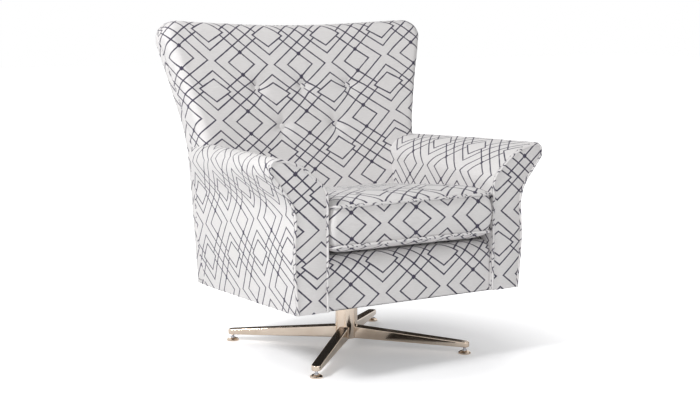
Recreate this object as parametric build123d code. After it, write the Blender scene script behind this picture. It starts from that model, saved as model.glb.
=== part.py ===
from build123d import *

import os
from math import cos, pi, radians, sin, sqrt, tan

# Swivel armchair on a four-legged pedestal, in millimetres. +Z is up and the seat faces -Y.
# The origin is on the floor, on the swivel axis.

# Clearances
RUNNING_GAP = 0.05          # radial play of a turning fit
SOFT_GAP = 1.0              # between the loose cushion and what it lies against
SEAT_GAP = 0.3              # between a resting piece and its seat

# Pedestal
COLUMN_DIAMETER = 64.0
COLUMN_WALL = 3.0
COLUMN_FOOT = 30.0          # underside of the column above the floor
COLUMN_PLUG = 6.0
LEG_REACH = 345.0           # swivel axis to the axis of each foot
LEG_ROOT_WIDTH = 30.0
LEG_TIP_WIDTH = 27.0
LEG_ROOT_HEIGHT = 36.0
LEG_TIP_HEIGHT = 15.0
LEG_TIP_CLEARANCE = 19.0    # underside of a leg's tip above the floor
LEG_EDGE_ROUND = 3.0
LEG_ANGLES = {"front_left": 225, "front_right": 315, "rear_right": 45, "rear_left": 135}

# Levelling feet
FOOT_DIAMETER = 36.0
FOOT_HEIGHT = 9.0
FOOT_RIM = 3.5
FOOT_NECK = 14.0            # diameter of the flat on top of the pad
FOOT_SOCKET_FLOOR = 3.0
STEM_DIAMETER = 8.0
STEM_ENGAGED = 5.5          # thread inside the leg at rest
STEM_PITCH = 1.25
STEM_TURNS = 5              # turns from rest to fully screwed in
STEM_END_ROOM = 0.75
COLLAR_DIAMETER = 13.0
COLLAR_HEIGHT = 2.0
INSERT_WALL = 2.0

# Swivel
SPINDLE_DIAMETER = 30.0
SPINDLE_TAIL = 28.0         # end of the spindle above the column's foot
BUSH_FLANGE = 4.0
UPPER_BUSH_LENGTH = 32.0
LOWER_BUSH_LENGTH = 26.0
RACE_THICKNESS = 3.0
RACE_INNER_GAP = 1.0
RACE_OUTER_DIAMETER = 56.0
BALL_DIAMETER = 6.0
BALL_GAP = 0.1
BALL_COUNT = 12
CAGE_THICKNESS = 3.0
CAGE_WALL = 1.2             # cage left inside and outside each ball
WASHER_THICKNESS = 4.0
WASHER_DIAMETER = 48.0
CLIP_THICKNESS = 2.2
CLIP_GROOVE_DEPTH = 1.5
CLIP_DIAMETER = 37.0
CLIP_OPENING = 12.0
PLATE_SIZE = 200.0
PLATE_THICKNESS = 5.0
BOLT_SPACING = 160.0
BOLT_DIAMETER = 8.0
BOLT_LENGTH = 38.0
BOLT_HEAD_DIAMETER = 15.0
BOLT_HEAD_HEIGHT = 5.0
BOLT_HEAD_ROOM = 2.0

# Seat frame
SEAT_BOTTOM = 197.0         # underside of the timber frame
DUST_COVER = 1.5
DUST_COVER_HOLE = 80.0
DUST_COVER_MARGIN = 6.0
FRAME_HALF = 300.0          # swivel axis to the inner face of the side rails
FRAME_LIFT = 3.0            # rails above the underside of the covers
RAIL_THICKNESS = 25.0
SIDE_RAIL_HEIGHT = 80.0
FRONT_RAIL_HEIGHT = 112.0
CROSS_RAIL_WIDTH = 50.0
CROSS_RAIL_HEIGHT = 40.0
CORNER_BLOCK = 45.0
CORNER_BLOCK_HEIGHT = 60.0
POST_THICKNESS = 18.0
POST_MARGIN = 12.0          # padding round the shaped arm post
FACING_PAD = 6.0            # padding in front of the arm post
ARM_RAIL = 30.0
ARM_RAIL_DROP = 70.0        # top of the arm above the top of its rail
BACK_POST_WIDTH = 40.0
BACK_FRAME = 28.0           # depth of the back's posts and rails
BACK_POST_LENGTH = 690.0
BACK_RAIL_HEIGHT = 45.0
BACK_LOWER_RAIL = 165.0     # foot of the back to its lower rail
REAR_RAIL_HEIGHT = 112.0

# Suspension
SPRING_COUNT = 5
SPRING_SPACING = 95.0
SPRING_WIRE = 3.8
SPRING_WIDTH = 44.0
SPRING_STEP = 24.0
SPRING_BEND = 8.0
SPRING_DROP = 8.0           # spring wire below the top of the front rail
SPRING_CLIP = (24.0, 8.0, 14.0)
WEB_COUNT = 5
WEB_WIDTH = 50.0
WEB_THICKNESS = 2.0

# Upholstery
FABRIC = 2.0
PIPING = 8.0                # diameter of the covered cord
SEAT_DECK = 336.0           # top of the platform and of the front border
BORDER_FRONT = -331.0
BORDER_ROUND = 26.0
ARM_FRONT = -338.0
ARM_INNER = 262.0           # swivel axis to the inside of an arm
ARM_THICKNESS = 98.0
ARM_TOP = 607.0
ARM_RAMP = (80.0, 70.0)     # run and rise of the inside of the curl at the facing
ARM_CREST = (92.0, 22.0)    # run and rise from there to the outermost tip
ARM_TIP_DEPTH = 44.0
ARM_REAR_TOP = 596.0
ARM_REAR_RAMP = (38.0, 22.0)
ARM_REAR_CREST = (72.0, 14.0)
ARM_REAR_TIP_DEPTH = 60.0
ARM_CURL_FOOT = 469.0       # height where the outside starts to curl
ARM_BELLY = (8.0, 330.0)    # fullest line of the outside: how far it stands out, and its height
ARM_FOOT_DRAW = 4.0         # how far the outside is drawn in at its foot
ARM_ROUNDS = (55.0, 130.0, 22.0, 22.0, 110.0, 600.0)
ARM_REAR_ROUNDS = (36.0, 110.0, 40.0, 100.0, 110.0, 600.0)
ARM_REAR = 270.0            # where the curl has its rear shape, just behind the joint with the back
ARM_JOINT_Y = 193.0         # rear end of the arms at the underside of the seat
ARM_JOINT_LEAN = 10.0
BACK_Y = 253.01             # outside back at the underside of the seat
BACK_LEAN = 7.0
BACK_PANEL = 4.0
BACK_FOOT_HALF = 350.0
BACK_WAIST = (355.0, 406.0)  # half width and height of the back where it starts to flare
BACK_EAR = (449.0, 743.0)
BACK_DIP = 22.0
BACK_ROUNDS = (600.0, 52.0, 4000.0)
INSIDE_BACK_Y = 159.0       # inside back at the cushion's upper seam
INSIDE_BACK_LEAN = 16.0
INSIDE_BACK_ROUND = 24.0
WING = 28.0                 # how far the ears stand in front of the middle
BUTTON_DIAMETER = 22.0
BUTTON_HEIGHT = 6.0
BUTTON_ROUND = 4.0
BUTTON_SHANK = (5.0, 26.0)
TUFT_DEPTH = 12.0
TUFT_RADIUS = 60.0
UPPER_BUTTONS = (155.0, 285.0)  # spacing, and distance up the inside back from the upper seam
LOWER_BUTTONS = (180.0, 166.0)

# Cushion
CUSHION_FRONT = -350.0
CUSHION_LOW_SEAM = 364.0
CUSHION_TOP_SEAM = 469.0
CUSHION_CROWN = 34.0
CUSHION_UNDER_CROWN = 27.5
CUSHION_PITCH = 5.5         # fall of the top seam towards the back, in degrees
CUSHION_DRAW = 8.0          # how far the seams are drawn in from the fullest line
CUSHION_WAIST = 4.0         # how far the sides pull in between the corners
CUSHION_CORNER = 34.0
CUSHION_CROWN_RUN = 150.0   # width of the rounded shoulder on top
CUSHION_UNDER_RUN = 60.0
CUSHION_SIDE_ROUND = 900.0
CUSHION_STEPS = 4           # levels in each shoulder and in the side

# Sizes worked out from those above
COLUMN_R = COLUMN_DIAMETER / 2
BORE_R = COLUMN_R - COLUMN_WALL
SPINDLE_R = SPINDLE_DIAMETER / 2
STEM_R = STEM_DIAMETER / 2
PIPE_R = PIPING / 2
STEM_TRAVEL = STEM_PITCH * STEM_TURNS
ARM_OUTER = ARM_INNER + ARM_THICKNESS
RAIL_BOTTOM = SEAT_BOTTOM + FRAME_LIFT
PLATE_BOTTOM = SEAT_BOTTOM + BOLT_HEAD_ROOM + BOLT_HEAD_HEIGHT
PLATE_TOP = PLATE_BOTTOM + PLATE_THICKNESS
BEARING_BOTTOM = PLATE_BOTTOM - 2 * RACE_THICKNESS - BALL_DIAMETER
COLUMN_TOP = BEARING_BOTTOM - BUSH_FLANGE
POST_FRONT = ARM_FRONT + FABRIC + FACING_PAD
POST_BACK = POST_FRONT + POST_THICKNESS
FRONT_RAIL_BACK = POST_BACK + RAIL_THICKNESS
SPRING_Z = RAIL_BOTTOM + FRONT_RAIL_HEIGHT - SPRING_DROP
WEB_FRONT = BACK_PANEL + BACK_FRAME + WEB_THICKNESS
FAR = 1200.0                # longer than the chair, for cutting tools


def leaning_plane(y, z, lean):
    """A plane that faces the sitter through (0, y, z), its upward direction leaning back."""
    toward_sitter = (0, -cos(radians(lean)), sin(radians(lean)))
    return Plane(origin=(0, y, z), x_dir=(1, 0, 0), z_dir=toward_sitter)


OUTSIDE_PLANE = leaning_plane(BACK_Y, SEAT_BOTTOM, BACK_LEAN)
JOINT_PLANE = leaning_plane(ARM_JOINT_Y, SEAT_BOTTOM, ARM_JOINT_LEAN)
INSIDE_PLANE = leaning_plane(INSIDE_BACK_Y, CUSHION_TOP_SEAM, INSIDE_BACK_LEAN)


def block(low, high):
    """A box between two opposite corners."""
    size = [b - a for a, b in zip(low, high)]
    middle = [(a + b) / 2 for a, b in zip(low, high)]
    return Pos(*middle) * Box(*size)


def rod(radius, bottom, top):
    return Pos(0, 0, (bottom + top) / 2) * Cylinder(radius, top - bottom)


def ring(outer, inner, bottom, top):
    return rod(outer, bottom, top) - rod(inner, bottom - FAR, top + FAR)


def both_sides(shape):
    return shape, shape.mirror(Plane.YZ)


def less(shape, *cutters):
    for cutter in cutters:
        shape = shape - cutter
    return shape


def swept_cord(path, start_plane):
    return sweep(start_plane * Circle(PIPE_R), path=path)


# Pedestal

def column_tube():
    return ring(COLUMN_R, BORE_R, COLUMN_FOOT, COLUMN_TOP)


def leg():
    """One leg along +X: tapering in side view and in plan, with a rounded tip and softened edges."""
    root = COLUMN_R / 2
    root_top = COLUMN_FOOT + LEG_ROOT_HEIGHT
    tip_top = LEG_TIP_CLEARANCE + LEG_TIP_HEIGHT
    tip_r = LEG_TIP_WIDTH / 2
    tip = LEG_REACH + tip_r
    side = make_face(Polyline((root, COLUMN_FOOT), (tip, LEG_TIP_CLEARANCE), (tip, tip_top),
                              (root, root_top), close=True))
    half_root = LEG_ROOT_WIDTH / 2
    plan = make_face([
        Line((LEG_REACH, -tip_r), (root, -half_root)),
        Line((root, -half_root), (root, half_root)),
        Line((root, half_root), (LEG_REACH, tip_r)),
        ThreePointArc((LEG_REACH, tip_r), (tip, 0), (LEG_REACH, -tip_r)),
    ])
    body = extrude(Plane.XZ * side, amount=LEG_ROOT_WIDTH, both=True) & extrude(plan, amount=FAR)
    long_edges = [e for e in body.edges() if abs(e.tangent_at(0.5).Z) < 0.5 and e.center().X > COLUMN_R]
    body = fillet(long_edges, LEG_EDGE_ROUND)
    return less(body, rod(COLUMN_R, 0, FAR), Pos(LEG_REACH, 0, 0) * insert_hole())


def insert_top():
    return LEG_TIP_CLEARANCE + STEM_ENGAGED + STEM_TRAVEL + STEM_END_ROOM


def insert_radius():
    return STEM_R + RUNNING_GAP + INSERT_WALL


def insert_hole():
    return rod(insert_radius(), 0, insert_top())


def foot_insert():
    return ring(insert_radius(), STEM_R + RUNNING_GAP, LEG_TIP_CLEARANCE, insert_top())


def foot_pad():
    """Domed pad with a blind socket in which the stem turns."""
    foot_r = FOOT_DIAMETER / 2
    neck_r = FOOT_NECK / 2
    shoulder = ((foot_r + neck_r) / 2, FOOT_HEIGHT - (FOOT_HEIGHT - FOOT_RIM) / 4)
    outline = make_face([
        Line((0, 0), (foot_r, 0)),
        Line((foot_r, 0), (foot_r, FOOT_RIM)),
        ThreePointArc((foot_r, FOOT_RIM), shoulder, (neck_r, FOOT_HEIGHT)),
        Line((neck_r, FOOT_HEIGHT), (0, FOOT_HEIGHT)),
        Line((0, FOOT_HEIGHT), (0, 0)),
    ])
    return revolve(Plane.XZ * outline, Axis.Z) - rod(STEM_R + RUNNING_GAP, FOOT_SOCKET_FLOOR, FAR)


def foot_stem():
    shaft = rod(STEM_R, FOOT_SOCKET_FLOOR, LEG_TIP_CLEARANCE + STEM_ENGAGED)
    return shaft + rod(COLLAR_DIAMETER / 2, FOOT_HEIGHT, FOOT_HEIGHT + COLLAR_HEIGHT)


# Swivel

def upper_bush():
    inside = SPINDLE_R + RUNNING_GAP
    sleeve = ring(BORE_R - RUNNING_GAP, inside, COLUMN_TOP - UPPER_BUSH_LENGTH, COLUMN_TOP)
    return sleeve + ring(COLUMN_R, inside, COLUMN_TOP, BEARING_BOTTOM)


def washer_top():
    return COLUMN_FOOT + SPINDLE_TAIL + 3 * CLIP_THICKNESS + WASHER_THICKNESS


def lower_bush():
    bottom = washer_top() + SEAT_GAP
    return ring(BORE_R - RUNNING_GAP, SPINDLE_R + RUNNING_GAP, bottom, bottom + LOWER_BUSH_LENGTH)


def thrust_washer():
    return ring(WASHER_DIAMETER / 2, SPINDLE_R + RUNNING_GAP, washer_top() - WASHER_THICKNESS, washer_top())


def clip_span():
    top = washer_top() - WASHER_THICKNESS
    return top - CLIP_THICKNESS, top


def circlip():
    bottom, top = clip_span()
    whole = ring(CLIP_DIAMETER / 2, SPINDLE_R - CLIP_GROOVE_DEPTH, bottom, top)
    return whole - block((0, -CLIP_OPENING / 2, 0), (FAR, CLIP_OPENING / 2, FAR))


def spindle():
    bottom, top = clip_span()
    groove = ring(COLUMN_R, SPINDLE_R - CLIP_GROOVE_DEPTH, bottom, top)
    return rod(SPINDLE_R, COLUMN_FOOT + SPINDLE_TAIL, PLATE_TOP) - groove


def race(bottom):
    return ring(RACE_OUTER_DIAMETER / 2, SPINDLE_R + RACE_INNER_GAP, bottom, bottom + RACE_THICKNESS)


def ball_ring_radius():
    return (RACE_OUTER_DIAMETER / 2 + SPINDLE_R + RACE_INNER_GAP) / 2


def ball_places():
    middle = BEARING_BOTTOM + RACE_THICKNESS + BALL_DIAMETER / 2
    turn = 2 * pi / BALL_COUNT
    r = ball_ring_radius()
    return [Pos(r * cos(turn * i), r * sin(turn * i), middle) for i in range(BALL_COUNT)]


def bearing_balls():
    return Compound([place * Sphere(BALL_DIAMETER / 2 - BALL_GAP) for place in ball_places()])


def ball_cage():
    middle = BEARING_BOTTOM + RACE_THICKNESS + BALL_DIAMETER / 2
    reach = BALL_DIAMETER / 2 + CAGE_WALL
    band = ring(ball_ring_radius() + reach, ball_ring_radius() - reach,
                middle - CAGE_THICKNESS / 2, middle + CAGE_THICKNESS / 2)
    return less(band, *[place * Cylinder(BALL_DIAMETER / 2, FAR) for place in ball_places()])


def bolt_places():
    half = BOLT_SPACING / 2
    return [Pos(x, y, 0) for x in (-half, half) for y in (-half, half)]


def bolt_hole():
    return rod(BOLT_DIAMETER / 2 + RUNNING_GAP, PLATE_BOTTOM - BOLT_HEAD_HEIGHT, PLATE_BOTTOM + BOLT_LENGTH)


def swivel_plate():
    half = PLATE_SIZE / 2
    plate = block((-half, -half, PLATE_BOTTOM), (half, half, PLATE_TOP))
    holes = [place * bolt_hole() for place in bolt_places()]
    return less(plate, rod(SPINDLE_R + RUNNING_GAP, 0, FAR), *holes)


def plate_bolts():
    shank = rod(BOLT_DIAMETER / 2, PLATE_BOTTOM, PLATE_BOTTOM + BOLT_LENGTH)
    head = extrude(Pos(0, 0, PLATE_BOTTOM) * RegularPolygon(BOLT_HEAD_DIAMETER / 2, 6), -BOLT_HEAD_HEIGHT)
    return Compound([place * (shank + head) for place in bolt_places()])


# Timber frame

def plate_rails():
    rails = []
    for side in (-1, 1):
        middle = side * BOLT_SPACING / 2
        rail = block((-FRAME_HALF, middle - CROSS_RAIL_WIDTH / 2, PLATE_TOP),
                     (FRAME_HALF, middle + CROSS_RAIL_WIDTH / 2, PLATE_TOP + CROSS_RAIL_HEIGHT))
        rails.append(less(rail, *[place * bolt_hole() for place in bolt_places()]))
    return Compound(rails)


def front_rail():
    return block((-FRAME_HALF, POST_BACK, RAIL_BOTTOM),
                 (FRAME_HALF, FRONT_RAIL_BACK, RAIL_BOTTOM + FRONT_RAIL_HEIGHT))


def back_timber(left, right, bottom, top):
    """A piece of the back's frame, placed on the outside back's plane."""
    return OUTSIDE_PLANE * block((left, bottom, BACK_PANEL), (right, top, BACK_PANEL + BACK_FRAME))


def rear_rail():
    return back_timber(-FRAME_HALF, FRAME_HALF, FRAME_LIFT, FRAME_LIFT + REAR_RAIL_HEIGHT)


def back_lower_rail():
    return back_timber(-FRAME_HALF, FRAME_HALF, BACK_LOWER_RAIL, BACK_LOWER_RAIL + BACK_RAIL_HEIGHT)


def back_top_rail():
    top = FRAME_LIFT + BACK_POST_LENGTH
    return back_timber(-FRAME_HALF, FRAME_HALF, top - BACK_RAIL_HEIGHT, top)


def back_post():
    return back_timber(FRAME_HALF, FRAME_HALF + BACK_POST_WIDTH, FRAME_LIFT, FRAME_LIFT + BACK_POST_LENGTH)


def side_rail():
    rail = block((FRAME_HALF, POST_BACK, RAIL_BOTTOM),
                 (FRAME_HALF + RAIL_THICKNESS, BACK_Y, RAIL_BOTTOM + SIDE_RAIL_HEIGHT))
    return rail & in_front_of_back_frame()


def arm_rail():
    top = ARM_TOP - ARM_RAIL_DROP
    rail = block((FRAME_HALF, POST_BACK, top - ARM_RAIL), (FRAME_HALF + ARM_RAIL, FAR, top))
    return rail & in_front_of_back_frame(WEB_THICKNESS)


def in_front_of_back_frame(gap=0.0):
    return OUTSIDE_PLANE * block((-FAR, -FAR, BACK_PANEL + BACK_FRAME + gap), (FAR, FAR, FAR))


def arm_post():
    return extrude(Pos(0, POST_FRONT, 0) * arm_profile(POST_MARGIN), amount=POST_THICKNESS, dir=(0, 1, 0))


def corner_blocks():
    bottom = RAIL_BOTTOM
    blocks = []
    for front, inward in ((FRONT_RAIL_BACK, 1), (BACK_Y, -1)):
        depth = CORNER_BLOCK if inward > 0 else CORNER_BLOCK + BACK_PANEL + BACK_FRAME
        corner = (FRAME_HALF, front)
        wedge = make_face(Polyline(corner, (FRAME_HALF - CORNER_BLOCK, front),
                                   (FRAME_HALF, front + inward * depth), close=True))
        solid = extrude(Pos(0, 0, bottom) * wedge, amount=CORNER_BLOCK_HEIGHT)
        blocks += both_sides((solid & in_front_of_back_frame()).solid())
    return Compound(blocks)


# Suspension

def spring_rear():
    """Where the spring's wire meets the rear rail's front face."""
    rise = SPRING_Z - SEAT_BOTTOM
    return BACK_Y + rise * tan(radians(BACK_LEAN)) - (BACK_PANEL + BACK_FRAME) / cos(radians(BACK_LEAN))


def spring_columns():
    return [(i - (SPRING_COUNT - 1) / 2) * SPRING_SPACING for i in range(SPRING_COUNT)]


def spring():
    """One zigzag spring along +Y about x = 0, from the front clip to the rear clip."""
    clip_depth = SPRING_CLIP[1]
    start = FRONT_RAIL_BACK + clip_depth / 4
    end = spring_rear() - clip_depth / 2
    turns = int((end - start - 4 * SPRING_BEND) / SPRING_STEP)
    lead = (end - start - turns * SPRING_STEP) / 2
    points = [(0, start, SPRING_Z), (0, start + lead, SPRING_Z)]
    for i in range(turns):
        side = SPRING_WIDTH / 2 * (1 if i % 2 else -1)
        points.append((side, start + lead + i * SPRING_STEP, SPRING_Z))
        points.append((side, start + lead + (i + 1) * SPRING_STEP, SPRING_Z))
    points += [(0, end - lead, SPRING_Z), (0, end, SPRING_Z)]
    path = FilletPolyline(*points, radius=SPRING_BEND)
    return sweep(Plane(points[0], z_dir=(0, 1, 0)) * Circle(SPRING_WIRE / 2), path=path)


def seat_springs():
    one = spring()
    return Compound([Pos(x, 0, 0) * one.solid() for x in spring_columns()])


def spring_clips():
    width, depth, height = SPRING_CLIP
    low = SPRING_Z - height / 2
    wire = Pos(0, 0, SPRING_Z) * Rot(90, 0, 0) * Cylinder(SPRING_WIRE / 2 + RUNNING_GAP, FAR)
    front = block((-width / 2, FRONT_RAIL_BACK, low),
                  (width / 2, FRONT_RAIL_BACK + depth, low + height)) - wire
    rear_block = block((-width / 2, spring_rear() - depth, low), (width / 2, BACK_Y, low + height))
    rear = (rear_block & in_front_of_back_frame()) - wire
    clips = [Pos(x, 0, 0) * clip.solid() for x in spring_columns() for clip in (front, rear)]
    return Compound(clips)


def back_webbing():
    """Straps across the front of the back's posts, between the lower rail and the top rail."""
    low = BACK_LOWER_RAIL + BACK_RAIL_HEIGHT
    high = FRAME_LIFT + BACK_POST_LENGTH - BACK_RAIL_HEIGHT
    pitch = (high - low) / WEB_COUNT
    half = FRAME_HALF + BACK_POST_WIDTH / 2
    straps = []
    for i in range(WEB_COUNT):
        middle = low + pitch * (i + 0.5)
        straps.append(OUTSIDE_PLANE * block((-half, middle - WEB_WIDTH / 2, WEB_FRONT - WEB_THICKNESS),
                                            (half, middle + WEB_WIDTH / 2, WEB_FRONT)))
    return Compound(straps)


def seat_platform():
    """Felt and foam pad on the springs, between the arms, from the front rail to the rear rail."""
    bottom = SPRING_Z + SPRING_WIRE / 2 + SEAT_GAP
    half = ARM_INNER - SEAT_GAP
    pad = block((-half, FRONT_RAIL_BACK, bottom), (half, BACK_Y, SEAT_DECK))
    return (pad & in_front_of_back_frame()) - spring_clips()


# Arms

FACING_SHAPE = (ARM_TOP, ARM_RAMP, ARM_CREST, ARM_TIP_DEPTH, ARM_ROUNDS)
REAR_SHAPE = (ARM_REAR_TOP, ARM_REAR_RAMP, ARM_REAR_CREST, ARM_REAR_TIP_DEPTH, ARM_REAR_ROUNDS)


def arm_profile(inset=0.0, shape=FACING_SHAPE):
    """Front view of the right arm: upright with a slight belly outside, then curling outwards at the top."""
    top, ramp, crest, tip_depth, rounds = shape
    ramp_x, ramp_z = ARM_INNER + ramp[0], top - crest[1]
    tip_x = ramp_x + crest[0]
    belly, belly_z = ARM_BELLY
    points = [
        (ARM_INNER, SEAT_BOTTOM), (ARM_INNER, ramp_z - ramp[1]), (ramp_x, ramp_z), (tip_x, top),
        (tip_x, top - tip_depth), (ARM_OUTER, ARM_CURL_FOOT), (ARM_OUTER + belly, belly_z),
        (ARM_OUTER - ARM_FOOT_DRAW, SEAT_BOTTOM),
    ]
    outline = make_face(FilletPolyline(*points, radius=[0, *rounds, 0], close=True))
    return Plane.XZ * (offset(outline, -inset) if inset else outline)


def arm_form(inset=0.0):
    """The right arm, from its facing to the plane where it meets the back. The curl dies away rearwards."""
    facing = Pos(0, ARM_FRONT + inset, 0) * arm_profile(inset)
    rear = Pos(0, ARM_REAR, 0) * arm_profile(inset, REAR_SHAPE)
    bar = loft([facing, rear], ruled=True)
    return bar & (JOINT_PLANE * block((-FAR, -FAR, 0), (FAR, FAR, FAR)))


def arm_piping():
    """Covered cord round the edge of the right arm's facing, open along its foot."""
    loop = Pos(0, ARM_FRONT - PIPE_R, 0) * arm_profile(PIPE_R)
    foot = loop.edges().sort_by(Axis.Z)[0]
    path = Wire([e for e in loop.edges() if e.center() != foot.center()])
    start = path @ 0
    return swept_cord(path, Plane(start, z_dir=path % 0))


# Back

def back_outline(inset=0.0):
    ear_x, ear_z = BACK_EAR
    waist_x, waist_z = BACK_WAIST
    waist_round, ear_round, dip_round = BACK_ROUNDS
    points = [(-BACK_FOOT_HALF, 0), (BACK_FOOT_HALF, 0), (waist_x, waist_z), (ear_x, ear_z),
              (0, ear_z - BACK_DIP), (-ear_x, ear_z), (-waist_x, waist_z)]
    radii = [0, 0, waist_round, ear_round, dip_round, ear_round, waist_round]
    outline = make_face(FilletPolyline(*points, radius=radii, close=True))
    return offset(outline, -inset) if inset else outline


def inside_back_radius():
    ear = BACK_EAR[0]
    return (ear ** 2 + WING ** 2) / (2 * WING)


def behind_inside_back(inset=0.0):
    """Everything behind the inside back, which is hollow across its width and leans back."""
    across = Plane(origin=INSIDE_PLANE.origin, x_dir=(1, 0, 0), z_dir=INSIDE_PLANE.y_dir)
    bend = inside_back_radius() + inset
    disc = Pos(0, -(inside_back_radius())) * Circle(bend)
    slab = Pos(0, FAR / 2 - 2 * WING) * Rectangle(2 * FAR, FAR)
    return extrude(across * (slab - disc), amount=FAR, both=True)


def button_places():
    """Planes at the bottom of each tuft, facing the sitter."""
    places = []
    for (spacing, up), columns in ((UPPER_BUTTONS, (-1, 0, 1)), (LOWER_BUTTONS, (-0.5, 0.5))):
        for column in columns:
            x = column * spacing
            hollow = inside_back_radius() - sqrt(inside_back_radius() ** 2 - x ** 2)
            places.append(INSIDE_PLANE * Pos(x, up, hollow - TUFT_DEPTH))
    return places


def back_form(inset=0.0):
    """Inside back and sides of the back in front of the outside panel, with tufts at the buttons."""
    slab = extrude(OUTSIDE_PLANE * Pos(0, 0, BACK_PANEL) * back_outline(inset), amount=FAR / 2)
    form = slab & behind_inside_back(inset)
    front = max(form.faces().filter_by(GeomType.CYLINDER), key=lambda face: face.area)
    rim = [e for e in front.edges() if e.center().Z > SEAT_BOTTOM + 2 * FABRIC]
    form = fillet(rim, INSIDE_BACK_ROUND - inset)
    tufts = [place * Pos(0, 0, TUFT_RADIUS) * Sphere(TUFT_RADIUS + inset) for place in button_places()]
    form = less(form, *tufts)
    well = block((-ARM_INNER, -FAR, 0), (ARM_INNER, FAR, SEAT_DECK)) & in_front_of_back_frame()
    return less(form, well, *both_sides(arm_form()))


def back_button():
    """Covered button with its shank, standing up +Z from the bottom of its tuft."""
    r = BUTTON_DIAMETER / 2
    seat = TUFT_RADIUS - sqrt(TUFT_RADIUS ** 2 - r ** 2)
    cap = rod(r, seat, seat + BUTTON_HEIGHT)
    cap = fillet(cap.edges().sort_by(Axis.Z)[-1], BUTTON_ROUND)
    shank_width, shank_length = BUTTON_SHANK
    return cap + rod(shank_width / 2, -shank_length, seat)


def back_buttons():
    return Compound([place * back_button().solid() for place in button_places()])


def outside_back_cover():
    return extrude(OUTSIDE_PLANE * back_outline(FABRIC), amount=BACK_PANEL)


def back_piping():
    """Covered cord round the outside back, open along its foot."""
    loop = OUTSIDE_PLANE * Pos(0, 0, -PIPE_R) * back_outline(PIPE_R + FABRIC)
    foot = loop.edges().sort_by(Axis.Z)[0]
    path = Wire([e for e in loop.edges() if e.center() != foot.center()])
    return swept_cord(path, Plane(path @ 0, z_dir=path % 0))


# Front border and dust cover

def front_border_form(inset=0.0):
    front, top = BORDER_FRONT + inset, SEAT_DECK - inset
    round_r = BORDER_ROUND - inset
    side = make_face(FilletPolyline((front, SEAT_BOTTOM), (front, top), (FRONT_RAIL_BACK, top),
                                    (FRONT_RAIL_BACK, SEAT_BOTTOM), radius=[0, round_r, 0, 0], close=True))
    half = ARM_INNER - SEAT_GAP
    return extrude(Plane.YZ * side, amount=half, both=True)


def dust_cover():
    margin = DUST_COVER_MARGIN
    sheet = block((-ARM_OUTER + margin, ARM_FRONT + margin, SEAT_BOTTOM - DUST_COVER),
                  (ARM_OUTER - margin, BACK_Y - margin, SEAT_BOTTOM))
    return sheet - rod(DUST_COVER_HOLE / 2, 0, FAR)


# Loose cushion

def cushion_outline(z, inset):
    """Plan of the cushion at one height of its front, with its sides pulled in between the corners."""
    half = ARM_INNER - SOFT_GAP - inset
    front = CUSHION_FRONT + inset
    share = (z - CUSHION_LOW_SEAM) / (CUSHION_TOP_SEAM - CUSHION_LOW_SEAM)
    pitch = CUSHION_PITCH * min(max(share, 0), 1)
    rear_z = z - (INSIDE_BACK_Y - CUSHION_FRONT) * sin(radians(pitch))
    lean = (rear_z - CUSHION_TOP_SEAM) * tan(radians(INSIDE_BACK_LEAN))
    rear_middle = INSIDE_BACK_Y + lean - SOFT_GAP - inset
    rear = rear_middle - half ** 2 / (2 * inside_back_radius())
    middle = (front + rear) / 2
    waist = CUSHION_WAIST
    points = [(-half, front), (0, front + waist / 2), (half, front), (half - waist, middle), (half, rear),
              (0, rear_middle - SOFT_GAP), (-half, rear), (-half + waist, middle)]
    corner = max(CUSHION_CORNER - inset, CUSHION_CORNER / 4)
    radii = [corner, CUSHION_SIDE_ROUND] * 4
    tilted = Pos(0, CUSHION_FRONT, z) * Rot(-pitch, 0, 0) * Pos(0, -CUSHION_FRONT, 0)
    return tilted * FilletPolyline(*points, radius=radii, close=True)


def cushion_levels(skin):
    """Height and inset of each level: round shoulders outside the seams, fullest between them."""
    low, high = CUSHION_LOW_SEAM, CUSHION_TOP_SEAM
    under, crown = CUSHION_UNDER_CROWN - skin, CUSHION_CROWN - skin
    steps = [i / CUSHION_STEPS for i in range(CUSHION_STEPS + 1)]
    seam = CUSHION_DRAW + skin
    levels = []
    for t in reversed(steps):
        turn = t * pi / 2
        levels.append((low - under * sin(turn), seam + CUSHION_UNDER_RUN * (1 - cos(turn))))
    for t in steps[1:]:
        levels.append((low + t * (high - low), seam - CUSHION_DRAW * sin(t * pi)))
    for t in steps[1:]:
        turn = t * pi / 2
        levels.append((high + crown * sin(turn), seam + CUSHION_CROWN_RUN * (1 - cos(turn))))
    return levels


def cushion_form(skin=0.0):
    """Crowned box cushion, drawn in at its two seams and fullest between them."""
    sections = [make_face(cushion_outline(z, inset)) for z, inset in cushion_levels(skin)]
    return loft(sections, ruled=True)


def cushion_piping():
    cords = []
    for seam in (CUSHION_LOW_SEAM, CUSHION_TOP_SEAM):
        path = cushion_outline(seam, CUSHION_DRAW - PIPE_R - 2 * SEAT_GAP).wire()
        cords.append(swept_cord(path, Plane(path @ 0, z_dir=path % 0)).solid())
    return Compound(cords)


# All the pieces

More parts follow.
